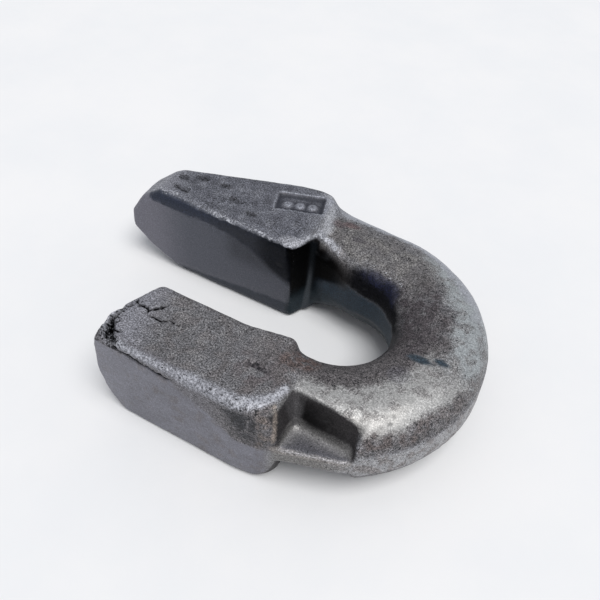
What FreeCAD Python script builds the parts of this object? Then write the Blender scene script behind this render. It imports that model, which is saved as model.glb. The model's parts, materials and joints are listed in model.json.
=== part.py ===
import FreeCAD, Part
import math
import os

# One closed-die steel forging, a lifting bail: a thick half-ring (the bow) with two legs that end in
# blocky heads. Millimetres, +Z up, the forging lying flat. X runs along the legs and points at the
# crown of the bow, Y runs across the legs. The dimensions below are measured from the centre of the
# bow; the finished solid is moved at the end, so that its origin is the bottom centre of its box.

# ---- driving dimensions -----------------------------------------------------------------------
HEAD_TOP = 36.0          # thickness of the two heads
PARTING = HEAD_TOP / 2   # height of the die parting plane

BOW_OUTER_R = 49.3       # trimmed outer radius of the bow
BOW_EYE_R = 17.4         # trimmed radius of the eye
BOW_HALF_HEIGHT = 15.8   # the bow is a little thinner than the heads
UPPER_SQUARENESS = 2.7   # exponents of the superellipses that the bow's section follows: the upper
LOWER_SQUARENESS = 2.05  # die's half is fuller than the lower die's
SECTION_STEPS = 12       # points that the section's upper and lower arches pass through
FLASH = 0.35             # stock past the trim line before the flash is sheared off

NECK_LENGTH = 30.0       # the long leg's neck runs from the bow into the far head
NECK_SPLAY = 2.8         # and leans outwards by this much over that length
STUB_LENGTH = 9.0        # how far the bow runs into the near head

NEAR_INNER_Y = -22.5     # flat inner face of the near (short) head
NEAR_OUTER_Y = -51.2     # sheared outer face of the near head
FAR_INNER_Y = 13.6       # flat inner face of the far (long) head
FAR_OUTER_Y = 51.8       # outer face of the far head beside the bow
FAR_TAPER = 0.362        # the far head's outer face runs in by this much per millimetre
FAR_SHOULDER_X = -36.0   # where that taper starts
FAR_END_X = -99.6        # tip of the far head's blunt nose

WEB_HALF_HEIGHT = 3.0    # thin web left across the pocket beside the near head
POCKET_DRAFT = 1.5       # lean of the pocket's back wall between the web and the top

PAD_LENGTH = 18.0        # shallow marking recess in the far head's top
PAD_WIDTH = 9.6
PAD_DEPTH = 1.3
PAD_CENTRE = (-37.2, 37.7)
PAD_ANGLE = 19.5
PIP_RADIUS = 1.5
PIP_PITCH = 4.6
PIP_HEIGHT = 0.7

EDGE_RADIUS = 2.0        # rounding of the heads' top and bottom edges
SMALLEST_RADIUS = 0.6    # of a corner once its outline has been inset
TRIM_OVERRUN = 6.0       # how far the trimming prism stands past the forging, above and below


# ---- drawing helpers --------------------------------------------------------------------------
def point(x, y, z=0.0):
    return FreeCAD.Vector(x, y, z)


def corner_arc(before, here, after, radius):
    """The arc of the given radius that rounds the corner at here, as its three points."""
    to_before = (before - here).normalize()
    to_after = (after - here).normalize()
    half_angle = to_before.getAngle(to_after) / 2
    bisector = (to_before + to_after).normalize()
    centre = here + bisector * (radius / math.sin(half_angle))
    reach = radius / math.tan(half_angle)
    return here + to_before * reach, centre - bisector * radius, here + to_after * reach


def rounded_outline(corners, z):
    """A closed wire at height z through (x, y, corner radius) corners."""
    places = [point(x, y, z) for x, y, _ in corners]
    arcs = []
    for i, (_, _, radius) in enumerate(corners):
        arcs.append(corner_arc(places[i - 1], places[i], places[(i + 1) % len(places)], radius))
    edges = []
    for i, (start, middle, end) in enumerate(arcs):
        edges.append(Part.Arc(start, middle, end).toShape())
        edges.append(Part.LineSegment(end, arcs[(i + 1) % len(arcs)][0]).toShape())
    return Part.Wire(edges)


def stack(levels):
    """A solid with straight walls through (height, corners) levels, lowest first."""
    wires = [rounded_outline(corners, z) for z, corners in levels]
    return Part.makeLoft(wires, True, True)


def inward(before, here, after):
    """Where the corner at here goes when both of its edges move inwards by one millimetre."""
    normals = []
    for start, end in ((before, here), (here, after)):
        run = math.hypot(end[0] - start[0], end[1] - start[1])
        normals.append(((start[1] - end[1]) / run, (end[0] - start[0]) / run))
    (ax, ay), (bx, by) = normals
    share = 1 + ax * bx + ay * by
    return (ax + bx) / share, (ay + by) / share


def inset(corners, distance):
    """The outline moved inwards. Corners run counter-clockwise."""
    moved = []
    for i, (x, y, radius) in enumerate(corners):
        dx, dy = inward(corners[i - 1], corners[i], corners[(i + 1) % len(corners)])
        moved.append((x + distance * dx, y + distance * dy, max(radius - distance, SMALLEST_RADIUS)))
    return moved


def blended(low, high, share):
    return [tuple(a + share * (b - a) for a, b in zip(p, q)) for p, q in zip(low, high)]


def rounded_rim(edge_level, inner_level, radius):
    """Levels that round the rim at edge_level, where the walls come from inner_level."""
    (edge_z, edge), (inner_z, inner) = edge_level, inner_level
    direction = math.copysign(1, edge_z - inner_z)
    rim = []
    for degrees in (0, 30, 60, 90):
        angle = math.radians(degrees)
        z = edge_z - direction * radius * (1 - math.sin(angle))
        corners = blended(edge, inner, (edge_z - z) / (edge_z - inner_z))
        rim.append((z, inset(corners, radius * (1 - math.cos(angle)))))
    return rim


def softened_stack(levels, radius):
    """A stack whose top and bottom rims are rounded."""
    bottom = rounded_rim(levels[0], levels[1], radius)[::-1]
    top = rounded_rim(levels[-1], levels[-2], radius)
    return stack(bottom + levels[1:-1] + top)


def bow_section():
    """The bow's section as a face, where the bow meets the short leg."""
    half_width = (BOW_OUTER_R - BOW_EYE_R) / 2 + FLASH
    middle_y = -(BOW_OUTER_R + BOW_EYE_R) / 2
    halves = []
    for side, squareness in ((1, UPPER_SQUARENESS), (-1, LOWER_SQUARENESS)):
        power = 2 / squareness
        arch = []
        for i in range(SECTION_STEPS + 1):
            angle = math.pi * i / SECTION_STEPS
            across = math.copysign(abs(math.cos(angle)) ** power, math.cos(angle))
            up = side * abs(math.sin(angle)) ** power
            arch.append(point(0, middle_y + half_width * across, PARTING + BOW_HALF_HEIGHT * up))
        curve = Part.BSplineCurve()
        curve.interpolate(arch, InitialTangent=point(0, 0, side), FinalTangent=point(0, 0, -side))
        halves.append(curve.toShape())
    return Part.Face(Part.Wire(Part.__sortEdges__(halves)))


# ---- the forging's bodies, before trimming ----------------------------------------------------
def bow_and_neck():
    """The half-ring, with the stub that runs into the short leg and the long leg's straight neck."""
    start = bow_section()
    ring = start.revolve(point(0, 0), point(0, 0, 1), 180)
    stub = start.extrude(point(-STUB_LENGTH, 0))
    finish = start.copy()
    finish.rotate(point(0, 0), point(0, 0, 1), 180)
    neck = finish.extrude(point(-NECK_LENGTH, NECK_SPLAY))
    return ring.fuse([stub, neck])


def pocket_cutters():
    """Upper and lower drafted recesses between the near head and the bow, down to the web."""
    at_web = [(-6, -38.2, 1), (24.5, -39.2, 5), (30.0, -46, 6), (30.0, -64, 1), (-6, -64, 1)]
    at_top = [(-6, -38.2 + POCKET_DRAFT, 1), (25.5, -39.2 + POCKET_DRAFT, 5),
              (32.5, -46, 6), (32.5, -64, 1), (-6, -64, 1)]
    web_top = PARTING + WEB_HALF_HEIGHT
    upper = stack([(web_top, at_web), (HEAD_TOP + 1, at_top)])
    lower = upper.mirror(point(0, 0, PARTING), point(0, 0, 1))
    return upper, lower


def web():
    corner = point(-4, -56, PARTING - WEB_HALF_HEIGHT)
    return Part.makeBox(34, 20, 2 * WEB_HALF_HEIGHT, corner)


def near_head_corners(end_shift, spread, corner_radius):
    """Outline of the short leg's head. spread grows it outwards to follow the die draft."""
    return [
        (-54.6 + end_shift, NEAR_INNER_Y + 0.6 * spread, 3.0),
        (-61.8 + end_shift, -41.2, 6.0),
        (-58.8 + end_shift, -52.1 - spread, 3.0),
        (-12.0, -51.0 - spread, 4.0),
        (2.2 + spread, -50.2 - spread, corner_radius),
        (2.2 + spread, -38.2, 3.0),
        (-5.6 + spread, -19.4 + 0.6 * spread, 2.5),
        (-22.0, NEAR_INNER_Y + 0.6 * spread, 8.0),
    ]


def near_head():
    levels = [
        (0.0, near_head_corners(5.0, 0.0, 9.0)),
        (8.0, near_head_corners(0.2, 1.5, 6.0)),
        (PARTING, near_head_corners(-2.0, 3.2, 3.0)),
        (30.0, near_head_corners(-1.2, 1.2, 6.5)),
        (HEAD_TOP, near_head_corners(0.0, 0.0, 9.0)),
    ]
    return softened_stack(levels, EDGE_RADIUS)


def far_head_corners(end_x, spread, overhang):
    """Outline of the long leg's head. overhang is the extra stock over its inner face."""
    shoulder_y = FAR_OUTER_Y - 1.6 + spread
    end_y = shoulder_y + FAR_TAPER * (end_x - FAR_SHOULDER_X)
    return [
        (end_x, 14.4 - overhang, 4.0),
        (-27.4 + 0.5 * spread, 14.2 - 0.2 * overhang, 3.0),
        (-22.4 + spread, 26.3, 5.0),
        (-28.0 + spread, shoulder_y - 0.4, 4.0),
        (FAR_SHOULDER_X, shoulder_y, 8.0),
        (end_x - 1.5, end_y, 5.0),
    ]


def far_head():
    levels = [
        (0.0, far_head_corners(-78.5, 0.0, 0.0)),
        (8.0, far_head_corners(-92.8, 1.2, 1.4)),
        (14.5, far_head_corners(-99.8, 2.4, 2.6)),
        (22.0, far_head_corners(-99.4, 2.4, 2.6)),
        (29.0, far_head_corners(-95.2, 1.2, 1.3)),
        (HEAD_TOP, far_head_corners(-86.0, 0.0, 0.0)),
    ]
    return softened_stack(levels, EDGE_RADIUS)


def trim_prism():
    """What the trimming die leaves: everything inside this vertical prism."""
    taper_end_y = FAR_OUTER_Y + FAR_TAPER * (FAR_END_X - FAR_SHOULDER_X)
    web_start = point(4.0, -49.6)
    web_angle = math.radians(-62)
    web_end = point(BOW_OUTER_R * math.cos(web_angle), BOW_OUTER_R * math.sin(web_angle))
    outer_far = point(0, BOW_OUTER_R)
    eye_far = point(0, BOW_EYE_R)
    eye_near = point(0, -BOW_EYE_R)
    straights = [
        [eye_near, point(-6.0, -19.2), point(-22.0, NEAR_INNER_Y), point(-56.6, NEAR_INNER_Y),
         point(-63.2, -39.2), point(-61.6, NEAR_OUTER_Y), point(-9.0, NEAR_OUTER_Y), web_start, web_end],
        [outer_far, point(-22.0, FAR_OUTER_Y), point(FAR_SHOULDER_X, FAR_OUTER_Y),
         point(FAR_END_X, taper_end_y), point(FAR_END_X, FAR_INNER_Y), point(-27.6, FAR_INNER_Y),
         point(-24.6, 20.4), point(-14.0, 19.4), eye_far],
    ]
    edges = []
    for run in straights:
        edges += [Part.LineSegment(a, b).toShape() for a, b in zip(run, run[1:])]
    edges.append(Part.Arc(web_end, point(BOW_OUTER_R, 0), outer_far).toShape())
    edges.append(Part.Arc(eye_far, point(BOW_EYE_R, 0), eye_near).toShape())
    outline = Part.Wire(Part.__sortEdges__(edges))
    outline.translate(point(0, 0, -TRIM_OVERRUN))
    return Part.Face(outline).extrude(point(0, 0, HEAD_TOP + 2 * TRIM_OVERRUN))


def marking_recess():
    """The shallow pocket in the far head's top, with three plain pips standing on its floor."""
    recess = Part.makeBox(PAD_LENGTH, PAD_WIDTH, PAD_DEPTH + 1,
                          point(-PAD_LENGTH / 2, -PAD_WIDTH / 2, HEAD_TOP - PAD_DEPTH))
    for i in (-1, 0, 1):
        pip = Part.makeCylinder(PIP_RADIUS, PIP_HEIGHT + 0.2,
                                point(i * PIP_PITCH, -0.8, HEAD_TOP - PAD_DEPTH - 0.2))
        recess = recess.cut(pip)
    recess.rotate(point(0, 0), point(0, 0, 1), PAD_ANGLE)
    recess.translate(point(PAD_CENTRE[0], PAD_CENTRE[1]))
    return recess


def tight_box(solid):
    return solid.optimalBoundingBox(True, False)


def forged_bail():
    bow = bow_and_neck()
    for cutter in pocket_cutters():
        bow = bow.cut(cutter)
    stock = bow.fuse([web(), near_head(), far_head()])
    body = stock.common(trim_prism()).cut(marking_recess()).removeSplitter()
    solid = body.Solids[0]
    box = tight_box(solid)
    solid.translate(point(-box.Center.x, -box.Center.y, -box.ZMin))
    return solid


# ---- build ------------------------------------------------------------------------------------
os.makedirs("parts", exist_ok=True)
bail = forged_bail()
bail.exportStep("parts/forged_bail.step")
size = tight_box(bail)
print("valid", bail.isValid(), "volume", round(bail.Volume), "mass kg", round(bail.Volume * 7.85e-6, 2))
print("box", round(size.XLength, 2), round(size.YLength, 2), round(size.ZLength, 2))
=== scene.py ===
import json
import math

import bmesh
import bpy
import numpy as np
from mathutils import Matrix, Vector, noise
from mathutils.bvhtree import BVHTree


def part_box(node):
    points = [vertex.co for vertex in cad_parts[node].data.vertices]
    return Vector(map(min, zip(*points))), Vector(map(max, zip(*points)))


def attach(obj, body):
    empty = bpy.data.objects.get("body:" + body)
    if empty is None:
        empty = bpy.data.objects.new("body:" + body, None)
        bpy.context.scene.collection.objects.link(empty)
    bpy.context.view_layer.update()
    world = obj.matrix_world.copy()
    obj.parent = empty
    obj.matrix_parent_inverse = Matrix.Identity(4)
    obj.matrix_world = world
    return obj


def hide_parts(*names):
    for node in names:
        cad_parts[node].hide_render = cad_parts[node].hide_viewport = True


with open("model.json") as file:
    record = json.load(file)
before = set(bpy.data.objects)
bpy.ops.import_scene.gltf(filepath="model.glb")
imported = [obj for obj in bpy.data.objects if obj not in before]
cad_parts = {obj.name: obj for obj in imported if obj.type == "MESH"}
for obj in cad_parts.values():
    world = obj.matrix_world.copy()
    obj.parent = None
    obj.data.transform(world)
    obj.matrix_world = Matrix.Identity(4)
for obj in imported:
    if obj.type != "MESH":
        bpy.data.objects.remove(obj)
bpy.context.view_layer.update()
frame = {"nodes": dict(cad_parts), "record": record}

MM = 0.001
NODE = "forged_bail"

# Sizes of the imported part, in mm. The bow frame has its origin at the bow's centre, on the resting
# plane, with X towards the crown of the bow and Y from the short leg to the long leg.
EYE_RADIUS = 17.4
BAR_RADIUS = 15.95
PARTING = 18.0

# The marking recess in the long head's top: its centre, and how far it and its rim reach each way.
PAD_CENTRE = (-37.2, 37.75)
PAD_REACH = (10.5, 7.75)

# The line in plan of the neck's sheared inner flank, from the long head to the bow. Distances on the neck
# are measured from a line that leans outwards by NECK_LEAN per mm towards the head.
NECK_TRIM = [(-24.6, 19.2), (-14.0, 18.7), (0.0, 17.4), (60.0, 17.4)]
NECK_LEAN = 0.049

# A quarter turn of the bow, in mm along the middle of the bar's inner half.
QUARTER_BOW = 40.0

# The bar's section is a superellipse, which is round at 2 and boxier above that.
UPPER_SQUARENESS = 2.7
LOWER_SQUARENESS = 2.05
NECK_SQUARENESS = 5.5

# The upright corner between the long head's step and the neck, and the direction that deepens it.
NOTCH_CORNER = (-24.3, 20.4)
INTO_NOTCH = (0.40, 0.91)

# The upright corner of the pocket, between the bow's wall and the short head.
POCKET_CORNER = (4.6, -38.4)

# The size of the skin's quads, and how many times the corners are smoothed.
VOXEL = 0.72
FILLET_ROUNDS = 60

seat = next(m for m in frame["record"]["mounts"] if m["name"] == "bow_seat")["pos_m"]
BOW_CENTRE = np.array([seat[0] / MM - EYE_RADIUS, seat[1] / MM, 0.0])


# Helpers

def step(values, low, high):
    """0 below low, 1 above high and a smooth ramp between. low may be the larger one."""
    t = np.clip((values - low) / (high - low), 0.0, 1.0)
    return t * t * (3.0 - 2.0 * t)


def window(values, low, high, soft):
    """1 between low and high, fading to 0 over soft outside them."""
    return step(values, low - soft, low) * step(values, high + soft, high)


def field(points, wavelength, seed, octaves=1):
    """Smooth noise of about -1 to 1 at each point in mm. It depends on nothing but its arguments."""
    shift = Vector((seed * 7.31, seed * -4.17, seed * 11.9))
    scale = 1.0 / wavelength
    if octaves == 1:
        return np.array([noise.noise(Vector(p) * scale + shift) for p in points])
    return np.array([noise.fractal(Vector(p) * scale + shift, 0.9, 2.1, octaves) for p in points])


def jitter(points, size, waves, seeds):
    """A random shift of each point, made of two noise fields along each of the three axes."""
    axes = [field(points, waves[0], seeds[0] + k) + field(points, waves[1], seeds[1] + k) for k in range(3)]
    return size * np.stack(axes, axis=1)


def distance_to_line(points, line):
    """Each point's distance to a chain of points, and how far along it the nearest point is, 0 to 1."""
    line = np.array(line, float)
    lengths = np.linalg.norm(np.diff(line, axis=0), axis=1)
    before = np.concatenate([[0.0], np.cumsum(lengths)])
    nearest = np.full(len(points), np.inf)
    along = np.zeros(len(points))
    for k, length in enumerate(lengths):
        direction = (line[k + 1] - line[k]) / length
        t = np.clip((points - line[k]) @ direction, 0.0, length)
        d = np.linalg.norm(points - line[k] - t[:, None] * direction, axis=1)
        closer = d < nearest
        nearest[closer] = d[closer]
        along[closer] = (before[k] + t[closer]) / before[-1]
    return nearest, along


def table(x, knots):
    """A value that runs in straight lines from one (x, value) pair to the next."""
    xs, values = zip(*sorted(knots))
    return np.interp(x, xs, values)


class Skin:
    """The forging's surface as arrays, in mm in the bow frame, so that it can be worked like clay."""

    def __init__(self, mesh):
        self.mesh = mesh
        count = len(mesh.vertices)
        flat = np.zeros(count * 3)
        mesh.vertices.foreach_get("co", flat)
        self.co = flat.reshape(-1, 3) / MM - BOW_CENTRE
        ends = np.zeros(len(mesh.edges) * 2, int)
        mesh.edges.foreach_get("vertices", ends)
        self.a, self.b = ends.reshape(-1, 2).T
        self.degree = np.bincount(self.a, minlength=count) + np.bincount(self.b, minlength=count)
        self.read_normals()

    def read_normals(self):
        flat = np.zeros(len(self.co) * 3)
        self.mesh.vertices.foreach_get("normal", flat)
        self.normal = flat.reshape(-1, 3)

    def write(self):
        self.mesh.vertices.foreach_set("co", ((self.co + BOW_CENTRE) * MM).ravel())
        self.mesh.update()
        self.read_normals()

    def around(self, values):
        """The mean of each vertex's neighbours."""
        count = len(values)
        if values.ndim == 1:
            total = np.bincount(self.a, values[self.b], count) + np.bincount(self.b, values[self.a], count)
            return total / self.degree
        return np.stack([self.around(column) for column in values.T], axis=1)

    def blur(self, values, rounds):
        for _ in range(rounds):
            values = 0.5 * values + 0.5 * self.around(values)
        return values

    def push(self, depth):
        """Moves each vertex along its normal by depth mm, outwards if it is positive."""
        self.co += self.normal * depth[:, None]
        self.write()

    def bulge(self, rounds):
        """How far each vertex stands proud of its blurred surroundings, in mm: positive on edges."""
        return ((self.co - self.blur(self.co, rounds)) * self.normal).sum(axis=1)

    def fillet(self, rounds, hollow, proud):
        """Fills hollow corners and wears down proud ones, each by its own weight."""
        for k in range(rounds):
            move = self.around(self.co) - self.co
            outward = (move * self.normal).sum(axis=1)
            weight = np.where(outward > 0.0, hollow, proud)
            self.co += self.normal * (0.5 * weight * outward)[:, None]
            if k % 5 == 4:
                self.write()

    def store(self, name, values):
        attribute = self.mesh.attributes.new(name, "FLOAT", "POINT")
        attribute.data.foreach_set("value", np.clip(values, 0.0, 1.0).astype(np.float32))


def remeshed(source, name, voxel):
    """A copy of the CAD node as an even skin of small quads, which has the points to be worked."""
    work = bpy.data.objects.new(name, source.data.copy())
    bpy.context.scene.collection.objects.link(work)
    weld = work.modifiers.new("weld", "WELD")
    weld.merge_threshold = 0.01 * MM
    voxels = work.modifiers.new("voxels", "REMESH")
    voxels.mode = "VOXEL"
    voxels.voxel_size = voxel * MM
    voxels.use_smooth_shade = True
    evaluated = work.evaluated_get(bpy.context.evaluated_depsgraph_get())
    mesh = bpy.data.meshes.new_from_object(evaluated)
    work.modifiers.clear()
    work.data = mesh
    mesh.name = name
    mesh.materials.clear()
    return work


def refine(mesh, places):
    """Splits each quad near one of the places, given as (chain of points, mm), so that cracks and rims have
    enough mesh. All of them are split in one go, because only quads split cleanly."""
    work = bmesh.new()
    work.from_mesh(mesh)
    centres = np.array([f.calc_center_median() for f in work.faces]) / MM - BOW_CENTRE
    chosen = np.zeros(len(centres), bool)
    for line, near in places:
        chosen |= distance_to_line(centres, line)[0] < near
    work.faces.ensure_lookup_table()
    edges = {e for i in np.nonzero(chosen)[0] for e in work.faces[i].edges}
    bmesh.ops.subdivide_edges(work, edges=list(edges), cuts=1, use_grid_fill=True)
    work.to_mesh(mesh)
    work.free()


def sheared_faces(points, source):
    """1 where the nearest CAD face stands upright, which is where the flash was sheared off."""
    tree = BVHTree.FromPolygons(
        [v.co / MM - Vector(BOW_CENTRE) for v in source.data.vertices],
        [tuple(p.vertices) for p in source.data.polygons],
    )
    upright = np.zeros(len(points))
    for i, p in enumerate(points):
        normal = tree.find_nearest(Vector(p))[1]
        upright[i] = abs(normal.z) < 0.03
    return upright


# The forging's skin

# Laps and cracks: chains of points, then width and depth, all in mm.
CRACKS = [
    ([(-58.2, -36.0, 36.0), (-59.8, -38.2, 35.6), (-59.0, -41.4, 36.0), (-59.4, -43.6, 36.0),
      (-57.4, -45.2, 36.0), (-56.4, -47.7, 36.0), (-53.8, -49.6, 35.8), (-51.8, -51.0, 34.6)], 1.5, 3.0),
    ([(-58.8, -44.6, 36.0), (-60.6, -46.2, 34.4), (-59.6, -48.8, 33.4)], 0.7, 1.3),
    ([(-56.6, -47.4, 36.0), (-58.4, -49.2, 34.6), (-57.4, -50.6, 33.0)], 0.7, 1.3),
    ([(-56.0, -46.4, 36.0), (-54.0, -46.6, 36.0), (-52.4, -45.8, 36.0)], 0.5, 0.6),
    ([(-51.8, -51.0, 34.6), (-49.0, -51.2, 33.6), (-45.7, -51.2, 33.8), (-42.0, -51.2, 32.6),
      (-38.5, -51.2, 32.9), (-35.0, -51.2, 32.0), (-30.0, -51.2, 32.2)], 0.7, 0.8),
    ([(-59.2, -30.2, 35.8), (-56.9, -33.0, 36.0), (-54.7, -34.3, 36.0), (-52.5, -34.0, 36.0),
      (-50.6, -34.1, 36.0), (-49.1, -32.6, 36.0), (-46.9, -29.9, 36.0)], 0.55, 0.8),
    ([(-52.0, -33.9, 36.0), (-50.1, -36.0, 36.0), (-46.2, -36.2, 36.0), (-42.8, -35.2, 36.0),
      (-38.0, -34.6, 36.0)], 0.4, 0.4),
]

# Rims: ragged where the flash was folded over them as it was sheared off, and worn bright elsewhere.
SHORT_RIM = [(-60.0, -46.0, 35.4), (-53.0, -50.2, 35.6), (-35.0, -50.4, 35.7), (-20.0, -49.8, 35.4),
             (-9.0, -49.6, 35.4), (-2.4, -46.5, 35.6), (0.6, -42.0, 35.4), (1.2, -38.0, 35.0)]
LONG_RIM = [(-92.0, 17.6, 33.6), (-86.0, 17.6, 35.8), (-75.0, 16.9, 35.8), (-60.0, 15.6, 35.8),
            (-30.0, 14.8, 35.8)]
STEP_RIM = [(-30.0, 14.8, 35.6), (-27.4, 17.4, 35.6), (-25.2, 22.8, 35.6), (-23.4, 26.4, 35.4)]
NECK_RIM = [(-23.2, 26.6, 35.0), (-19.0, 27.2, 33.2), (-14.4, 25.5, 32.4), (-8.0, 22.2, 31.0),
            (-2.0, 21.0, 29.8)]
STEP_TOP = [(-29.5, 47.0, 36.0), (-26.6, 42.7, 35.2), (-24.0, 37.0, 34.6), (-22.6, 31.5, 34.2),
            (-23.0, 28.0, 34.6)]
WEB_RIM = [(4.5, -49.4, 20.8), (12.0, -47.3, 20.8), (26.0, -42.5, 20.8)]
CORNER_RIM = [(1.6, -44.9, 34.6), (3.3, -47.2, 29.6), (4.1, -48.9, 24.9)]

cad = frame["nodes"][NODE]
forging = remeshed(cad, "forging", VOXEL)
fine_places = [(line, 2.0 + width) for line, width, _ in CRACKS]
fine_places += [(SHORT_RIM, 3.0), (LONG_RIM, 2.4), (STEP_RIM, 2.6), (NECK_RIM, 3.6)]
refine(forging.data, fine_places)
skin = Skin(forging.data)
upright = sheared_faces(skin.co + jitter(skin.co, 0.45, (2.2, 5.0), (51, 54)), cad)


def neck_reach(co):
    """Distance from the bow's centre, or on the neck from the line that carries the bow on along it."""
    x, y = co[:, 0], co[:, 1]
    return np.where(x > 0.0, np.hypot(x, y), np.abs(y) + NECK_LEAN * np.minimum(x, 0.0))


def superellipse(angle, squareness):
    """How far a superellipse of radius 1 reaches at an angle."""
    power = np.abs(np.cos(angle)) ** squareness + np.abs(np.sin(angle)) ** squareness
    return power ** (-1.0 / squareness)


def square_the_neck(skin):
    """The long neck's inner side grows boxier towards the head, up to the plane of the sheared flank."""
    x, y, z = skin.co.T
    reach = neck_reach(skin.co)
    inward = EYE_RADIUS + BAR_RADIUS - reach
    up = z - PARTING
    angle = np.arctan2(up, inward)
    old = np.where(up > 0.0, UPPER_SQUARENESS, LOWER_SQUARENESS)
    # Each point's place along the leg: x on the neck, and on from 0 to QUARTER_BOW round to the crown.
    round_bow = np.clip(np.degrees(np.arctan2(y, x)), 0.0, 90.0)
    along = np.where(x < 0.0, x, QUARTER_BOW - QUARTER_BOW * round_bow / 90.0)
    upper = table(along, [(-24.0, 0.4), (-16.0, 0.3), (-8.0, 0.2), (0.0, 0.1), (14.0, 0.0)])
    lower = table(along, [(-24.0, 0.6), (-18.0, 0.25), (-12.0, 0.0)])
    amount = np.where(up > 0.0, upper, lower)
    amount = amount * step(x, -25.4, -24.0) * step(y, 8.0, 12.0) * step(inward, 0.0, 3.0)
    wanted = old + (NECK_SQUARENESS - old) * amount
    grow = superellipse(angle, wanted) / superellipse(angle, old) - 1.0
    limit = EYE_RADIUS + BAR_RADIUS - table(x, NECK_TRIM)
    new_inward = np.minimum(inward * (1.0 + grow), np.maximum(limit, inward))
    towards = np.where(x > 0.0, x, 0.0), np.where(x > 0.0, y, np.abs(y))
    length = np.hypot(*towards)
    moved = (inward - new_inward) / length
    skin.co[:, 0] += towards[0] * moved
    skin.co[:, 1] += towards[1] * moved
    farthest = np.maximum(np.abs(up), BAR_RADIUS)
    skin.co[:, 2] = PARTING + np.clip(up * (1.0 + grow), -farthest, farthest)
    skin.write()


def notch_lean(z):
    """How far the corner of the notch lies behind its place in the CAD, in mm. It is most at the top."""
    return np.interp(z, [2.0, 10.0, 18.0, 34.0], [0.0, 1.0, 1.9, 2.7])


def lean_the_neck_wall(skin):
    """The wall beside the long head's step leans back towards its rim, which cuts the corner there deeper."""
    x, y, z = skin.co.T
    near_wall = window(x, -25.0, -17.0, 5.0 + 5.0 * (x > -20.0)) * step(y, 12.0, 17.0) * step(y, 36.0, 23.0)
    lean = notch_lean(z) * near_wall
    skin.co[:, 0] += lean * INTO_NOTCH[0]
    skin.co[:, 1] += lean * INTO_NOTCH[1]
    skin.write()


def lean_the_pocket_wall(skin):
    """The pocket's wall below the bow leans back towards its rim."""
    x, y, z = skin.co.T
    height = np.abs(z - PARTING)
    lean = 1.8 * step(height, 3.0, 15.0) * window(x, 3.0, 24.0, 4.0)
    at_wall = window(y, -39.6, -36.8, 0.6)
    behind = step(y, -30.0, -36.8) * (y > -36.8) * (1.0 - at_wall)
    skin.co[:, 1] += lean * (at_wall + behind)
    skin.write()


square_the_neck(skin)
lean_the_neck_wall(skin)
lean_the_pocket_wall(skin)

x, y, z = skin.co.T.copy()
reach = neck_reach(skin.co)
bearing = np.degrees(np.arctan2(y, x))
tilt = np.degrees(np.arctan2(z - PARTING, reach - EYE_RADIUS - BAR_RADIUS))

on_long_head = step(x, -20.0, -28.0) * step(y, 8.0, 11.0)
on_short_head = step(x, 6.0, 0.0) * step(y, -10.0, -16.0)
on_bow = (1.0 - on_long_head) * (1.0 - on_short_head)
on_long_side = on_bow * step(y, 0.0, 4.0)
pad = window(x - PAD_CENTRE[0], -PAD_REACH[0], PAD_REACH[0], 1.5)
pad *= window(y - PAD_CENTRE[1], -PAD_REACH[1], PAD_REACH[1], 1.5) * step(z, 33.0, 34.0)
in_pocket = window(x, 1.0, 26.0, 1.0) * step(y, -34.5, -36.0) * step(z, 34.0, 33.0)

# The sheared flanks end in a slanting line below the top, and the skin above it is rough.
short_limit = table(x, [(-63.0, 33.8), (-36.0, 32.4), (-30.6, 31.8), (-24.7, 28.8), (-17.0, 24.6),
                        (-12.7, 21.3), (-8.9, 18.6), (-3.3, 18.2), (4.0, 19.6)])
long_limit = table(x, [(-100.0, 33.0), (-87.0, 31.8), (-62.0, 31.6), (-56.0, 31.2), (-51.0, 30.5),
                       (-44.0, 28.8), (-39.0, 25.6), (-34.8, 22.6), (-28.0, 19.8)])
long_floor = table(x, [(-100.0, 0.5), (-87.0, 1.8), (-60.0, 4.5), (-40.0, 7.0), (-28.0, 8.0)])
waviness = 0.6 * field(skin.co, 5.0, 3) + 0.3 * field(skin.co, 1.7, 4)
on_short_flank = step(y, -47.5, -48.6) * on_short_head
flank_edge = table(x, [(-90.0, 16.4), (-75.0, 15.8), (-60.0, 14.7), (-30.0, 14.4)])
on_long_flank = step(y, flank_edge + 0.8, flank_edge) * on_long_head
above_short = on_short_flank * step(z + waviness, short_limit - 0.6, short_limit + 0.6)
above_long = on_long_flank * step(z + waviness, long_limit - 0.6, long_limit + 0.6)
# Painted shade under the long head's lip, fading in over a width that grows towards the notch.
fade = table(x, [(-60.0, 0.6), (-44.0, 1.4), (-36.0, 3.0)])
under_lip_shade = on_long_flank * step(z + waviness, long_limit - fade, long_limit + 0.5 * fade)
below_long = on_long_flank * step(z + waviness, long_floor + 0.6, long_floor - 0.6)
shear = upright * (1.0 - above_short) * (1.0 - above_long) * (1.0 - below_long)
shear = skin.blur(shear, 2)

skin.fillet(FILLET_ROUNDS, hollow=1.0 - 0.97 * pad - 0.7 * in_pocket, proud=0.06 * (1.0 - pad))
shoulder = window(x, -38.0, -12.0, 4.0) * step(y, 26.0, 31.0) * (1.0 - pad)
skin.fillet(5 * FILLET_ROUNDS, hollow=shoulder, proud=0.12 * shoulder)

bulge = skin.bulge(12)
edge = np.clip(bulge / 0.35, 0.0, 1.0)
hollow = np.clip(-bulge / 0.25, 0.0, 1.0)
fine_bulge = skin.bulge(4)
rough = 1.0 - shear

ragged = 0.5 * field(skin.co, 2.2, 31) + 0.5 * field(skin.co, 4.5, 32)
fine_ragged = field(skin.co, 1.1, 34)
near_neck_rim, along_neck_rim = distance_to_line(skin.co, NECK_RIM)
near_short_rim, near_long_rim, near_step_rim, near_step_top, near_web_rim, near_corner_rim = [
    distance_to_line(skin.co, rim)[0]
    for rim in (SHORT_RIM, LONG_RIM, STEP_RIM, STEP_TOP, WEB_RIM, CORNER_RIM)
]
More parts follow.
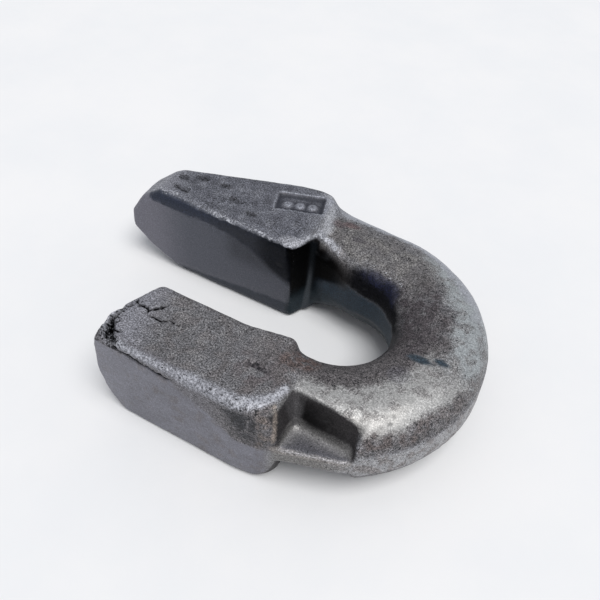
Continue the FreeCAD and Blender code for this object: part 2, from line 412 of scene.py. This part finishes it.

# The crest of the bow by the short head is burnished smooth, and painted lighter as a highlight where the
# softbox's light falls on it.
loose_tilt = tilt + 6.0 * field(skin.co, 6.0, 61) + 5.0 * field(skin.co, 2.2, 62)
loose_bearing = bearing + 9.0 * field(skin.co, 8.0, 63) + 4.0 * field(skin.co, 2.5, 64)
crest_burnish_highlight = on_bow * window(loose_tilt, 52.0, 88.0, 16.0) * window(loose_bearing, -88.0, -24.0, 28.0)

# Dents, waves and scale of the hammered skin; the sheared flanks keep only slight waves.
depth = rough * (1.0 - 0.8 * pad) * (1.0 - 0.5 * in_pocket) * (1.0 - 0.55 * crest_burnish_highlight) * (
    0.17 * field(skin.co, 11.0, 11)
    + 0.09 * field(skin.co, 3.6, 12)
    + 0.05 * field(skin.co, 1.7, 13)
)
depth += shear * (0.04 * field(skin.co, 9.0, 14) + 0.015 * field(skin.co * [1.0, 1.0, 0.25], 2.0, 15))
scale_pits = rough * (1.0 - pad) * np.clip(field(skin.co, 1.9, 21) * 2.2 - 0.9, 0.0, 1.0)
scale_pits *= step(field(skin.co, 9.0, 22), -0.1, 0.3)
depth -= 0.2 * scale_pits
depth += step(near_short_rim, 3.2, 1.2) * (0.05 + 0.30 * ragged + 0.16 * fine_ragged)
depth += step(near_long_rim, 2.4, 0.8) * (0.05 + 0.40 * ragged + 0.25 * fine_ragged)
depth += step(near_neck_rim, 2.4, 0.8) * (0.05 + 0.25 * ragged + 0.15 * fine_ragged)

# The flap outside the end crack lies a little lower than the top.
flap = step(x + 0.35 * np.maximum(-y - 44.0, 0.0), -59.2, -59.8) * step(y, -35.0, -37.0) * step(z, 27.0, 31.0)
depth -= flap * (0.5 + 0.35 * ragged + 0.2 * fine_ragged)

# Dents in the heads' tops: centre, radii and depth, in mm.
DENTS = [((-76.5, 31.0, 36.0), (2.6, 1.5, 2.0), 0.6), ((-66.5, 31.5, 36.0), (2.2, 1.2, 2.0), 0.5),
         ((-79.5, 21.5, 36.0), (3.4, 1.4, 2.0), 0.6), ((-83.0, 27.5, 36.0), (2.2, 1.6, 2.0), 0.35),
         ((-58.0, 26.0, 36.0), (3.0, 1.2, 2.0), 0.35), ((-49.0, 22.5, 36.0), (2.4, 1.2, 2.0), 0.3),
         ((-9.6, -35.6, 36.0), (3.6, 0.9, 2.0), 0.9)]

spot_outline = 0.25 * field(skin.co, 2.4, 60)
dent_outline = 0.45 * field(skin.co, 1.7, 66)


def spot(centre, radii, soft=0.35, outline=spot_outline):
    """1 within an ellipsoid round a point, with a ragged outline."""
    distance = np.linalg.norm((skin.co - centre) / radii, axis=1) + outline
    return step(distance, 1.0 + soft, 1.0 - soft)


dents = np.zeros(len(skin.co))
for centre, radii, deep in DENTS:
    dent = spot(centre, radii, 0.3, dent_outline)
    depth -= deep * dent
    dents = np.maximum(dents, dent)

# A lip of sheared flash runs along the line between the rough skin and each sheared face.
border = 4.0 * skin.blur(shear, 3)
border *= 1.0 - border / 4.0
depth += border * (0.02 + 0.12 * field(skin.co, 2.6, 33)) * (1.0 - 0.7 * in_pocket)
skin.push(depth)

crack = np.zeros(len(skin.co))
crack_zone = np.zeros(len(skin.co))
depth = np.zeros(len(skin.co))
wander = jitter(skin.co, 0.5, (2.4, 1.0), (41, 44))
for line, width, deep in CRACKS:
    distance, along = distance_to_line(skin.co + wander, line)
    groove = step(distance, width * 1.2, width * 0.35) * step(along, 1.02, 0.9)
    depth -= np.maximum(deep * groove + depth, 0.0)
    crack = np.maximum(crack, groove)
    crack_zone = np.maximum(crack_zone, min(width, 1.0) * step(distance, width * 3.2, width * 0.8))
skin.push(depth)


# Colours, laid on in coats. Each vertex has a colour, a gloss and a grain, which says how much grain the
# material adds. The worn and the pitted amounts say how much of the surface it fills with bright or dark
# flecks. A coat is a mask, a colour as the eye sees it, a gloss and a grain.

def linear(red, green, blue):
    """A colour given as the eye sees it, 0 to 255, as the shader wants it."""
    def channel(value):
        value /= 255.0
        return value / 12.92 if value <= 0.04045 else ((value + 0.055) / 1.055) ** 2.4
    return (channel(red), channel(green), channel(blue), 1.0)


class Paint:
    """A colour, a gloss, a grain and amounts of bright and dark flecks, all 0 to 1, at each vertex."""

    def __init__(self, count, colour, gloss, grain):
        self.colour = np.tile(linear(*colour), (count, 1))
        self.values = {"gloss": np.full(count, gloss), "grain": np.full(count, grain),
                       "worn": np.zeros(count), "pitted": np.zeros(count)}

    def coat(self, mask, colour, gloss=None, grain=None):
        mask = np.clip(mask, 0.0, 1.0)
        self.colour += mask[:, None] * (np.array(linear(*colour)) - self.colour)
        for name, value in (("gloss", gloss), ("grain", grain)):
            if value is not None:
                self.values[name] += mask * (value - self.values[name])

    def fleck(self, name, amount):
        self.values[name] = np.maximum(self.values[name], amount)

    def store(self, skin):
        for name, values in self.values.items():
            skin.store(name, values)
        attribute = skin.mesh.attributes.new("coat", "FLOAT_COLOR", "POINT")
        attribute.data.foreach_set("color", self.colour.astype(np.float32).ravel())


def patchy(seed, wavelength=6.0, low=-0.25, high=0.25):
    """Blotches from 0 to 1 that break up the outline of a coat."""
    return step(field(skin.co, wavelength, seed, 3), low, high)


# The colours of some coats and flecks, as the eye sees them.
BURNISH_AND_HIGHLIGHT = (165, 164, 162)
TEAL = (44, 58, 68)
BRIGHT_METAL = (190, 191, 197)
DARK_PIT = (22, 22, 25)

nx, ny, nz = skin.normal.T
tilt, bearing = loose_tilt, loose_bearing
upper = step(z, 17.0, 20.0)

# The scale on the forging, bluer on the long head and lighter at the outer ends.
paint = Paint(len(skin.co), (106, 105, 107), 0.4, 1.0)
paint.coat(0.5 * patchy(71, 9.0), (94, 93, 95))
paint.coat(0.30 * patchy(72, 5.0, 0.0, 0.35), (100, 92, 89))
paint.coat(0.5 * patchy(85, 3.0, 0.15, 0.45), (82, 79, 80))
paint.coat(0.4 * patchy(86, 2.6, 0.1, 0.4), (128, 126, 126))
paint.coat(0.5 * spot((-9.0, -37.0, 36.0), (9.0, 6.0, 3.0)) * patchy(87, 2.6, -0.3, 0.2),
           (82, 73, 74), 0.35, 1.0)
paint.coat(on_short_head * 0.75 * step(x + 0.25 * y, -50.0, -64.0), (136, 136, 143), 0.45, 0.7)
paint.coat(on_short_head * 0.65 * step(x, -18.0, -6.0) * patchy(79, 5.0), (86, 80, 80), 0.35, 1.0)
paint.coat(on_long_head, (97, 98, 105))
paint.coat(on_long_head * 0.5 * patchy(73, 5.0), (84, 85, 92))
paint.coat(on_long_head * 0.55 * patchy(89, 3.4, 0.1, 0.45), (66, 66, 72))
paint.coat(on_long_head * 0.45 * patchy(90, 3.4, 0.1, 0.45), (122, 123, 129))
paint.coat(on_long_head * 0.8 * step(x, -78.0, -88.0), (138, 138, 144), 0.45, 0.6)
paint.coat(on_long_head * 0.4 * step(x + 0.3 * (y - 38.0), -34.0, -27.0), (140, 141, 145), 0.45, 0.8)

# The bow: a brown and grey inner slope, a burnished crest with a painted highlight, a smooth outer shoulder
# with a painted reflection on its far side, and a brown belt.
slope = on_bow * upper * window(tilt, 102.0, 132.0, 12.0)
near_side = step(y, 18.0, 0.0)
paint.coat(slope * near_side, (84, 80, 80), 0.35)
brown = on_bow * upper * window(tilt, 96.0, 134.0, 18.0) * window(bearing, 0.0, 52.0, 28.0)
paint.coat(brown * (0.35 + 0.65 * patchy(74, 3.0, -0.4, 0.2)), (62, 56, 58), 0.3)
shoulder_band = window(tilt, 34.0, 70.0, 16.0)
paint.coat(on_bow * shoulder_band * window(bearing, 8.0, 56.0, 24.0), (154, 158, 159), 0.5, 0.35)
paint.coat(0.6 * on_bow * shoulder_band * window(bearing, -16.0, 70.0, 12.0) * patchy(81, 3.0, 0.0, 0.35),
           (108, 105, 104), 0.45, 0.9)
# Painted reflection: the far side of the outer shoulder is painted light bluish grey, as the backdrop
# mirrored at a glancing angle.
paint.coat(on_bow * window(tilt, 16.0, 52.0, 12.0) * window(bearing, 40.0, 125.0, 20.0),
           (156, 158, 164), 0.5, 0.35)
far_top = on_long_side * upper * window(tilt, 76.0, 116.0, 12.0) * window(bearing, 52.0, 120.0, 14.0)
paint.coat(0.6 * far_top, (95, 92, 91), 0.35, 0.8)
# The burnished crest, painted lighter and glossier as the softbox's highlight on it.
paint.coat(crest_burnish_highlight, BURNISH_AND_HIGHLIGHT, 0.62, 0.38)
# Painted highlight: a smoother core where the highlight is brightest.
crest_highlight_core = on_bow * window(tilt, 46.0, 62.0, 10.0) * window(bearing, -74.0, -48.0, 12.0)
paint.coat(crest_highlight_core, (165, 163, 160), 0.62, 0.22)
above_crest = on_bow * window(tilt, 66.0, 104.0, 12.0) * window(bearing, -70.0, 16.0, 14.0)
paint.coat(0.5 * above_crest * patchy(82, 2.6, 0.0, 0.35), (92, 87, 87), 0.5, 1.0)
beside_neck = on_bow * window(tilt, 80.0, 116.0, 10.0) * window(bearing, 66.0, 128.0, 12.0)
paint.coat(0.5 * beside_neck * patchy(80, 4.0), (124, 121, 118), 0.5, 1.0)
belt = window(tilt, 32.0, 40.0, 8.0) * window(bearing, -66.0, 6.0, 20.0)
belt *= 1.0 - 0.45 * step(bearing, -45.0, -15.0)
paint.coat(on_bow * belt * (0.3 + 0.7 * patchy(75, 3.0, -0.4, 0.2)), (85, 76, 73), 0.35, 1.0)

# The rounded top of the long head's step, down to the neck.
step_top = step(near_step_top + 0.5 * ragged, 3.2, 0.6) * step(nz, 0.3, 0.6)
paint.coat(0.85 * step_top, (166, 167, 171), 0.5, 0.6)

# Sheared faces.
paint.coat(shear, (122, 122, 130), 0.5, 0.22)
paint.coat(shear * 0.5 * patchy(76, 8.0), (110, 109, 116), 0.5, 0.22)
streaks = step(field(skin.co * [0.35, 0.35, 1.0], 1.6, 91, 2), 0.15, 0.55)
paint.coat(0.35 * shear * streaks, (98, 96, 100), 0.45, 0.3)
paint.coat(0.30 * shear * patchy(92, 4.0, 0.2, 0.5), (104, 95, 90), 0.45, 0.5)
paint.coat(shear * on_short_head * 0.5 * step(x, -45.0, -60.0), (136, 136, 144), 0.5, 0.2)
outer_band = shear * on_bow * step(reach, 40.0, 44.0)
paint.coat(outer_band, (153, 153, 155), 0.6, 0.6)
paint.coat(0.6 * outer_band * patchy(93, 3.0, -0.1, 0.3), (110, 102, 99), 0.45, 0.8)
paint.coat(shear * on_bow * step(x, 30.0, 16.0) * step(y, -30.0, -38.0), (116, 114, 112), 0.5, 0.6)
# Painted shade: the long head's inner flank is painted darker than the short head's sheared flank, as the
# shade of the short leg in front of it, and darker still on its upper part by the notch.
paint.coat(on_long_flank, (83, 85, 94), 0.45, 0.25)
paint.coat(on_long_flank * window(x, -50.0, -38.0, 8.0) * step(z, 16.0, 24.0), (62, 64, 72), 0.45, 0.25)
paint.coat(on_long_flank * step(x, -70.0, -92.0), (110, 109, 118), 0.45, 0.25)
# Painted shade: a dark strip along the top of the long head's inner flank, under the rim's lip, darkest
# towards the notch.
paint.coat(under_lip_shade, (35, 41, 56), 0.35, 0.5)
paint.coat(under_lip_shade * step(x, -66.0, -50.0), (28, 32, 43), 0.25, 0.4)
paint.coat(under_lip_shade * step(x, -46.0, -36.0), (21, 24, 32), 0.15, 0.4)
paint.coat(below_long, (42, 48, 59), 0.35, 0.35)

# Blue-black scale inside the bow and the neck, above a teal sheared band, and painted shade and highlights in
# the notch and the pocket.
inner_edge = table(bearing, [(35.0, 143.0), (50.0, 136.0), (65.0, 129.0), (81.0, 124.0), (96.0, 126.0),
                             (110.0, 131.0), (122.0, 133.0), (140.0, 136.0)])
inner = on_long_side * upper * step(tilt, inner_edge - 9.0, inner_edge + 10.0) * rough
paint.coat(inner, (15, 15, 20), 0.14, 0.9)
blue = window(tilt - inner_edge, 1.0, 12.0, 6.0) * window(bearing, 56.0, 90.0, 12.0)
paint.coat(0.55 * on_long_side * upper * rough * blue, (20, 25, 54), 0.2, 0.9)
inner_near_side = on_bow * step(y, 8.0, 2.0) * upper * step(tilt, 134.0, 146.0) * step(x, 0.0, 6.0)
paint.coat(inner_near_side, (54, 52, 53), 0.3, 0.6)
band = on_long_side * step(reach, 25.0, 20.0)
paint.coat(shear * band, (27, 45, 59), 0.3, 0.4)
paint.coat(band * step(z, 17.0, 12.0), (26, 40, 49), 0.3, 0.4)
rim_y = table(x, [(-24.6, 27.0), (-19.0, 26.6), (-14.4, 24.8), (-8.0, 21.6), (-2.0, 20.6)])
neck_side = window(x, -24.6, -10.0, 1.0 + 5.0 * (x > -10.0)) * step(y, 8.0, 12.0)
# Painted shade on the neck's wall, fading in below the rim.
below_rim_shade = step(y + 0.4 * ragged, rim_y + 0.8, rim_y - 1.6) * step(z, 20.0, 26.0)
paint.coat(0.8 * neck_side * below_rim_shade, (56, 52, 51), 0.3)
# Painted shade: the neck's wall in the notch is near black, from below the rim down to its foot.
wall_foot = table(x, [(-24.0, 18.0), (-16.0, 19.5), (-9.0, 22.5), (0.0, 25.0)])
neck_wall_shade = neck_side * step(y, rim_y - 0.6, rim_y - 3.4)
neck_wall_shade *= step(z + waviness, wall_foot - 2.0, wall_foot + 2.0)
paint.coat(neck_wall_shade * (1.0 - 0.35 * step(x, -16.0, -9.0)), (14, 13, 13), 0.05, 0.3)
# Painted shade: the notch's end wall is near black, with the teal oxide of the sheared band over its lower
# part.
notch_end_shade = window(x, -29.0, -18.0, 1.0) * window(y, 14.6, 26.0, 1.0)
notch_end_shade *= step(nz, 0.6, 0.3) * step(nx, -0.3, 0.3)
paint.coat(notch_end_shade, (9, 9, 10), 0.0, 0.2)
paint.coat(notch_end_shade * 0.8 * step(z + 2.0 * ragged, 16.0, 9.0), (36, 50, 58), 0.2, 0.4)
# Painted highlight: a lighter upright line on the fillet in the notch's corner, fading towards the top.
corner_x = NOTCH_CORNER[0] + INTO_NOTCH[0] * notch_lean(z)
corner_y = NOTCH_CORNER[1] + INTO_NOTCH[1] * notch_lean(z)
notch_corner_highlight = step(np.hypot(x - corner_x, y - corner_y), 2.2, 0.5) * step(nz, 0.6, 0.3)
paint.coat(notch_corner_highlight * (0.75 - 0.45 * step(z, 16.0, 28.0)), (56, 62, 68), 0.3, 0.3)
# Painted shade in the pocket: its back wall and side wall are dark, with a painted shadow darker still low on
# the back wall towards the short head.
pocket_back_shade = in_pocket * step(ny, -0.35, -0.75) * step(z, 20.5, 22.0)
paint.coat(pocket_back_shade, (38, 35, 36), 0.2, 0.7)
pocket_shadow = pocket_back_shade * step(z + 2.0 * ragged, 35.0, 25.0) * step(x + 3.0 * ragged, 25.0, 9.0)
paint.coat(pocket_shadow, (12, 10, 11), 0.15, 0.6)
paint.coat(in_pocket * step(nx, 0.5, 0.8), (42, 39, 40), 0.25, 0.7)
paint.coat(in_pocket * step(nz, 0.7, 0.95) * step(z, 24.0, 22.0), (86, 85, 90), 0.5, 0.5)
# Painted highlight: the hollow fillets round the web are glossier and painted lighter, and so is the upright
# corner fillet, which widens upwards.
paint.coat(in_pocket * 0.9 * hollow * window(z, 20.5, 24.0, 1.0), (134, 132, 130), 0.7, 0.3)
corner_width = table(z, [(20.0, 2.0), (33.0, 4.2)])
pocket_fillet_highlight = step(np.hypot(x - POCKET_CORNER[0], y - POCKET_CORNER[1]), corner_width, 0.4 * corner_width)
pocket_fillet_highlight *= step(z, 20.0, 22.0) * step(nz, 0.8, 0.5)
paint.coat(0.8 * pocket_fillet_highlight * in_pocket, (86, 84, 85), 0.5, 0.4)

# The short head's outer corner: rough, dark in places and brown beside the pocket.
paint.coat(flap, (150, 150, 156), 0.45, 0.7)
paint.coat(above_short, (110, 108, 112), 0.4, 0.6)
paint.coat(above_short * step(x, -22.0, -6.0), (100, 97, 98), 0.35, 0.9)
corner_soot = spot((-5.6, -50.9, 29.0), (4.6, 3.0, 4.6), 0.7)
corner_soot = np.maximum(corner_soot, 0.8 * spot((-10.5, -51.2, 32.0), (4.0, 2.0, 1.8), 0.7))
corner_soot = np.maximum(corner_soot, 0.7 * spot((-4.0, -50.8, 23.0), (4.4, 2.5, 3.4), 0.8))
corner_soot *= patchy(88, 2.2, -0.75, 0.0)
paint.coat(0.92 * corner_soot, (29, 32, 41), 0.3, 0.9)
paint.coat(above_short * step(x, -3.0, 1.0) * 0.6 * patchy(77, 2.5), (116, 103, 94), 0.35, 1.0)
paint.coat(0.6 * step(near_corner_rim + 0.5 * fine_ragged, 1.2, 0.4), (158, 146, 136), 0.5, 0.8)

# Rust at the foot of each head, two teal scuffs on top of the bow's crown, and the dents painted darker.
rust = spot((0.8, -24.0, 33.0), (4.0, 4.0, 3.0)) * patchy(78, 2.0, -0.4, 0.1)
paint.coat(0.8 * rust, (88, 70, 64), 0.3, 1.0)
rust = spot((-3.0, -28.6, 35.0), (3.4, 3.6, 2.6)) * patchy(83, 2.0, -0.4, 0.1)
paint.coat(0.7 * rust, (84, 69, 64), 0.3, 1.0)
paint.coat(0.7 * spot((-20.5, 36.6, 33.8), (2.6, 2.0, 2.0)), (84, 72, 74), 0.3, 1.0)
paint.coat(0.7 * spot((-16.0, 38.7, 33.6), (3.4, 1.7, 2.0)), (90, 70, 70), 0.3, 1.0)
paint.coat(0.7 * spot((-10.3, 32.8, 33.7), (2.6, 1.4, 2.0)), (62, 58, 63), 0.3, 1.0)
for centre, radii in [((30.0, -6.2, 33.6), (4.2, 1.4, 2.0)), ((36.4, -3.9, 33.6), (2.8, 1.1, 2.0))]:
    paint.coat(spot(centre, radii), TEAL, 0.5, 0.6)
paint.coat(0.5 * spot((27.0, -15.0, 33.8), (3.5, 3.5, 2.0)), (70, 68, 76), 0.4, 1.0)
paint.coat(0.6 * dents, (40, 39, 44), 0.3, 0.8)

# Bright metal on the rims, worn off in flecks.
rim_width = 2.2 + 1.4 * window(x, -26.0, -4.0, 6.0) + 0.8 * step(x, -46.0, -54.0)
short_worn = step(near_short_rim + 0.7 * ragged, rim_width, 0.25 * rim_width)
long_worn = step(near_long_rim + 0.8 * ragged, 2.6, 0.5) * step(nz, 0.5, 0.75)
step_worn = step(near_step_rim + 0.5 * ragged, 1.7, 0.5) * step(nz, 0.3, 0.6)
neck_worn = step(near_neck_rim + 0.5 * ragged, 2.4, 0.6) * step(nz, 0.25, 0.55)
neck_worn *= step(along_neck_rim, 0.75, 0.3)
worn = np.maximum.reduce([short_worn, 0.35 * long_worn, 0.8 * step_worn, neck_worn])
paint.coat(0.7 * worn, (142, 143, 149), 0.5, 0.7)
step_corner = spot((-28.2, 17.4, 36.0), (5.0, 2.6, 1.6)) * step(nz, 0.3, 0.6)
paint.coat(0.7 * step_corner, (152, 152, 157), 0.5, 0.8)
paint.coat(0.5 * neck_worn * step(x, -18.0, -10.0), (160, 150, 141), 0.5, 0.8)
paint.fleck("worn", short_worn * (0.33 + 0.17 * step(x, -18.0, -6.0)) + 0.1 * step(near_short_rim, 5.0, 2.0))
paint.fleck("worn", long_worn * (0.16 + 0.34 * patchy(84, 4.0)))
paint.fleck("worn", 0.36 * step_worn)
paint.fleck("worn", 0.46 * step_corner)
paint.fleck("worn", 0.18 * edge * on_long_head * (1.0 - above_long))
paint.fleck("worn", 0.50 * neck_worn)
inner_rim = window(tilt - inner_edge, -11.0, -4.0, 4.0) * window(bearing, 60.0, 100.0, 14.0)
paint.fleck("worn", 0.26 * on_long_side * upper * inner_rim)
paint.coat(0.6 * step(near_web_rim + 0.8 * ragged, 1.6, 0.7), (150, 144, 139), 0.5, 0.6)
bow_edges = edge * on_bow * step(nz, 0.2, 0.5) * (1.0 - inner) * (1.0 - crest_burnish_highlight)
paint.coat(0.25 * bow_edges, (184, 186, 193), 0.5, 0.9)
# Painted highlight on the marking recess's raised edges and pips, and painted shade in its hollow corners.
paint.coat(pad * np.clip(fine_bulge / 0.10, 0.0, 1.0), (140, 142, 150), 0.5, 0.7)
paint.coat(pad * np.clip(-fine_bulge / 0.10, 0.0, 1.0), (44, 46, 54), 0.3, 0.4)

# Dark flecks: round the cracks, in the corner's soot and the dents, and under the short head's rim.
paint.fleck("pitted", 0.46 * crack_zone)
paint.fleck("pitted", 0.48 * spot((-57.4, -48.4, 34.4), (3.8, 3.2, 3.2)))
paint.fleck("pitted", 0.6 * corner_soot)
under_rim = on_short_flank * window(z, short_limit, short_limit + 1.2, 0.6) * step(x, -26.0, -38.0)
paint.fleck("pitted", 0.5 * under_rim)
paint.fleck("pitted", 0.2 * above_short)
paint.fleck("pitted", 0.42 * dents)
paint.fleck("pitted", 0.12 * on_bow * (1.0 - 0.6 * crest_burnish_highlight))
inner_slope = window(tilt, 118.0, 128.0, 8.0) * window(bearing, 30.0, 90.0, 15.0)
paint.fleck("pitted", 0.15 * on_long_side * upper * inner_slope)
paint.coat(0.6 * scale_pits, (16, 16, 18), 0.3, 0.3)
paint.coat(1.4 * crack, (7, 7, 8), 0.05, 0.2)

paint.store(skin)

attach(forging, "root")
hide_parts(NODE)


# Materials

class Nodes:
    """Short calls that add linked shader nodes to a material."""

    def __init__(self, name):
        self.material = bpy.data.materials.new(name)
        self.material.use_nodes = True
        self.tree = self.material.node_tree
        self.tree.nodes.clear()
        self.output = self.tree.nodes.new("ShaderNodeOutputMaterial")
        self.shader = self.tree.nodes.new("ShaderNodeBsdfPrincipled")
        self.tree.links.new(self.shader.outputs["BSDF"], self.output.inputs["Surface"])
        self.place = self.tree.nodes.new("ShaderNodeTexCoord").outputs["Object"]

    def set(self, socket, value):
        if isinstance(value, bpy.types.NodeSocket):
            self.tree.links.new(value, socket)
        else:
            socket.default_value = value

    def attribute(self, name, output="Fac"):
        node = self.tree.nodes.new("ShaderNodeAttribute")
        node.attribute_name = name
        return node.outputs[output]

    def noise(self, wavelength, detail, roughness):
        mapping = self.tree.nodes.new("ShaderNodeMapping")
        mapping.inputs["Scale"].default_value = [1.0 / (wavelength * MM)] * 3
        self.set(mapping.inputs["Vector"], self.place)
        node = self.tree.nodes.new("ShaderNodeTexNoise")
        node.inputs["Scale"].default_value = 1.0
        node.inputs["Detail"].default_value = detail
        node.inputs["Roughness"].default_value = roughness
        self.set(node.inputs["Vector"], mapping.outputs["Vector"])
        return node.outputs["Fac"]

    def ramp(self, value, low, high, start=0.0, end=1.0):
        node = self.tree.nodes.new("ShaderNodeMapRange")
        node.interpolation_type = "SMOOTHSTEP"
        for name, number in (("From Min", low), ("From Max", high), ("To Min", start), ("To Max", end)):
            node.inputs[name].default_value = number
        self.set(node.inputs["Value"], value)
        return node.outputs["Result"]

    def math(self, operation, a, b):
        node = self.tree.nodes.new("ShaderNodeMath")
        node.operation = operation
        self.set(node.inputs[0], a)
        self.set(node.inputs[1], b)
        return node.outputs[0]

    def mix(self, factor, a, b):
        node = self.tree.nodes.new("ShaderNodeMix")
        node.data_type = "RGBA"
        self.set(node.inputs["Factor"], factor)
        self.set(node.inputs["A"], a)
        self.set(node.inputs["B"], b)
        return node.outputs["Result"]

    def fade(self, amount, a, b):
        """The number a where amount is 0 and b where it is 1."""
        node = self.tree.nodes.new("ShaderNodeMix")
        self.set(node.inputs["Factor"], amount)
        self.set(node.inputs["A"], a)
        self.set(node.inputs["B"], b)
        return node.outputs["Result"]

    def scaled(self, colour, factor):
        node = self.tree.nodes.new("ShaderNodeVectorMath")
        node.operation = "SCALE"
        self.set(node.inputs[0], colour)
        self.set(node.inputs["Scale"], factor)
        return node.outputs["Vector"]

    def bump(self, height, distance):
        node = self.tree.nodes.new("ShaderNodeBump")
        node.inputs["Distance"].default_value = distance * MM
        self.set(node.inputs["Height"], height)
        return node.outputs["Normal"]


def forged_steel():
    n = Nodes("forged_steel")
    coat = n.attribute("coat", "Color")
    gloss = n.attribute("gloss")
    coarse = n.attribute("grain")

    grain = n.noise(0.60, 2.0, 0.6)
    fine = n.noise(0.34, 1.0, 0.5)
    clumps = n.noise(2.6, 4.0, 0.7)

    # The coat's colour is darkened and lightened by grain and clumps.
    shade = n.ramp(grain, 0.3, 0.7, 0.46, 1.6)
    shade = n.math("MULTIPLY", shade, n.ramp(fine, 0.3, 0.7, 0.42, 1.65))
    shade = n.math("MULTIPLY", shade, n.ramp(clumps, 0.3, 0.7, 0.86, 1.12))
    shade = n.fade(coarse, 1.0, shade)
    colour = n.scaled(coat, shade)

    # Bright flecks fill the worn places and dark ones the pitted places. Coarse scale has a few dark ones.
    worn = n.math("ADD", n.noise(0.8, 3.0, 0.7), n.math("MULTIPLY", n.attribute("worn"), 0.42))
    worn = n.math("MULTIPLY", n.ramp(worn, 0.66, 0.84), n.ramp(n.attribute("worn"), 0.0, 0.15))
    colour = n.mix(worn, colour, linear(*BRIGHT_METAL))
    pitted = n.math("ADD", n.math("MULTIPLY", n.attribute("pitted"), 0.30), n.math("MULTIPLY", coarse, 0.10))
    pitted = n.math("ADD", n.noise(0.95, 3.0, 0.7), pitted)
    colour = n.mix(n.ramp(pitted, 0.70, 0.77), colour, linear(*DARK_PIT))
    n.set(n.shader.inputs["Base Color"], colour)

    # The near-black places, the painted shade in the notch and the pocket, the cracks and the blue-black
    # scale, have next to no gloss: as a near-black metal they mirror almost nothing.
    metallic = n.math("MAXIMUM", n.ramp(gloss, 0.2, 0.9, 0.15, 0.75), n.ramp(gloss, 0.08, 0.28, 1.0, 0.0))
    n.set(n.shader.inputs["Metallic"], metallic)
    dull = n.ramp(gloss, 0.2, 0.9, 0.62, 0.40)
    uneven = n.math("MULTIPLY", n.ramp(fine, 0.35, 0.65, 0.10, -0.08), coarse)
    n.set(n.shader.inputs["Roughness"], n.math("ADD", dull, uneven))

    height = n.math("ADD", n.math("MULTIPLY", grain, 0.8), n.math("MULTIPLY", fine, 0.4))
    n.set(n.shader.inputs["Normal"], n.bump(n.math("MULTIPLY", height, coarse), 0.22))
    return n.material


forging.data.materials.append(forged_steel())


# Stage, light and camera

FLOOR_TONES = (234, 234, 234), (238, 237, 236)


def floor_material():
    n = Nodes("pale_floor")
    cloth = n.noise(60.0, 4.0, 0.6)
    paleness = n.ramp(cloth, 0.3, 0.7)
    n.set(n.shader.inputs["Base Color"], n.mix(paleness, linear(*FLOOR_TONES[0]), linear(*FLOOR_TONES[1])))
    n.shader.inputs["Roughness"].default_value = 0.6
    n.shader.inputs["Specular IOR Level"].default_value = 0.2
    return n.material


FLOOR_SIZE = 6.0
half = FLOOR_SIZE / 2
floor_mesh = bpy.data.meshes.new("floor")
corners = [(-half, -half, 0.0), (half, -half, 0.0), (half, half, 0.0), (-half, half, 0.0)]
floor_mesh.from_pydata(corners, [], [(0, 1, 2, 3)])
floor = bpy.data.objects.new("floor", floor_mesh)
floor.location.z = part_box(NODE)[0].z
bpy.context.scene.collection.objects.link(floor)
floor_mesh.materials.append(floor_material())


def softbox(name, direction, width, strength):
    """A round softbox, so far off that it lights the whole floor evenly, as many degrees across as width."""
    data = bpy.data.lights.new(name, "SUN")
    data.angle = math.radians(width)
    data.energy = strength
    light = bpy.data.objects.new(name, data)
    bpy.context.scene.collection.objects.link(light)
    light.rotation_euler = Vector(direction).to_track_quat("Z", "Y").to_euler()


SOFTBOX_DIRECTION = (0.34, -0.17, 0.925)
SOFTBOX_WIDTH = 36.0
SOFTBOX_STRENGTH = 2.2
softbox("softbox", SOFTBOX_DIRECTION, SOFTBOX_WIDTH, SOFTBOX_STRENGTH)

SKY_COLOUR = (0.92, 0.955, 1.03, 1.0)
SKY_STRENGTH = 0.47
world = bpy.data.worlds.new("studio")
world.use_nodes = True
background = world.node_tree.nodes["Background"]
background.inputs["Color"].default_value = SKY_COLOUR
background.inputs["Strength"].default_value = SKY_STRENGTH
bpy.context.scene.world = world

VIEW_AZIMUTH = 27.8
VIEW_ELEVATION = 46.5
VIEW_ROLL = 2.87
VIEW_TARGET = Vector((4.6, 9.2, 18.0)) * MM
VIEW_DISTANCE = 250.9 * MM
FOCAL_LENGTH = 42.0
SENSOR_WIDTH = 36.0

azimuth, elevation = math.radians(VIEW_AZIMUTH), math.radians(VIEW_ELEVATION)
back = Vector((
    math.sin(azimuth) * math.cos(elevation),
    -math.cos(azimuth) * math.cos(elevation),
    math.sin(elevation),
))
lens = bpy.data.cameras.new("camera")
lens.lens = FOCAL_LENGTH
lens.sensor_width = SENSOR_WIDTH
lens.clip_start = 0.01
camera = bpy.data.objects.new("camera", lens)
bpy.context.scene.collection.objects.link(camera)
turn = back.to_track_quat("Z", "Y").to_matrix() @ Matrix.Rotation(math.radians(VIEW_ROLL), 3, "Z")
camera.matrix_world = Matrix.Translation(VIEW_TARGET + back * VIEW_DISTANCE) @ turn.to_4x4()
bpy.context.scene.camera = camera
bpy.context.scene.view_settings.view_transform = "Standard"
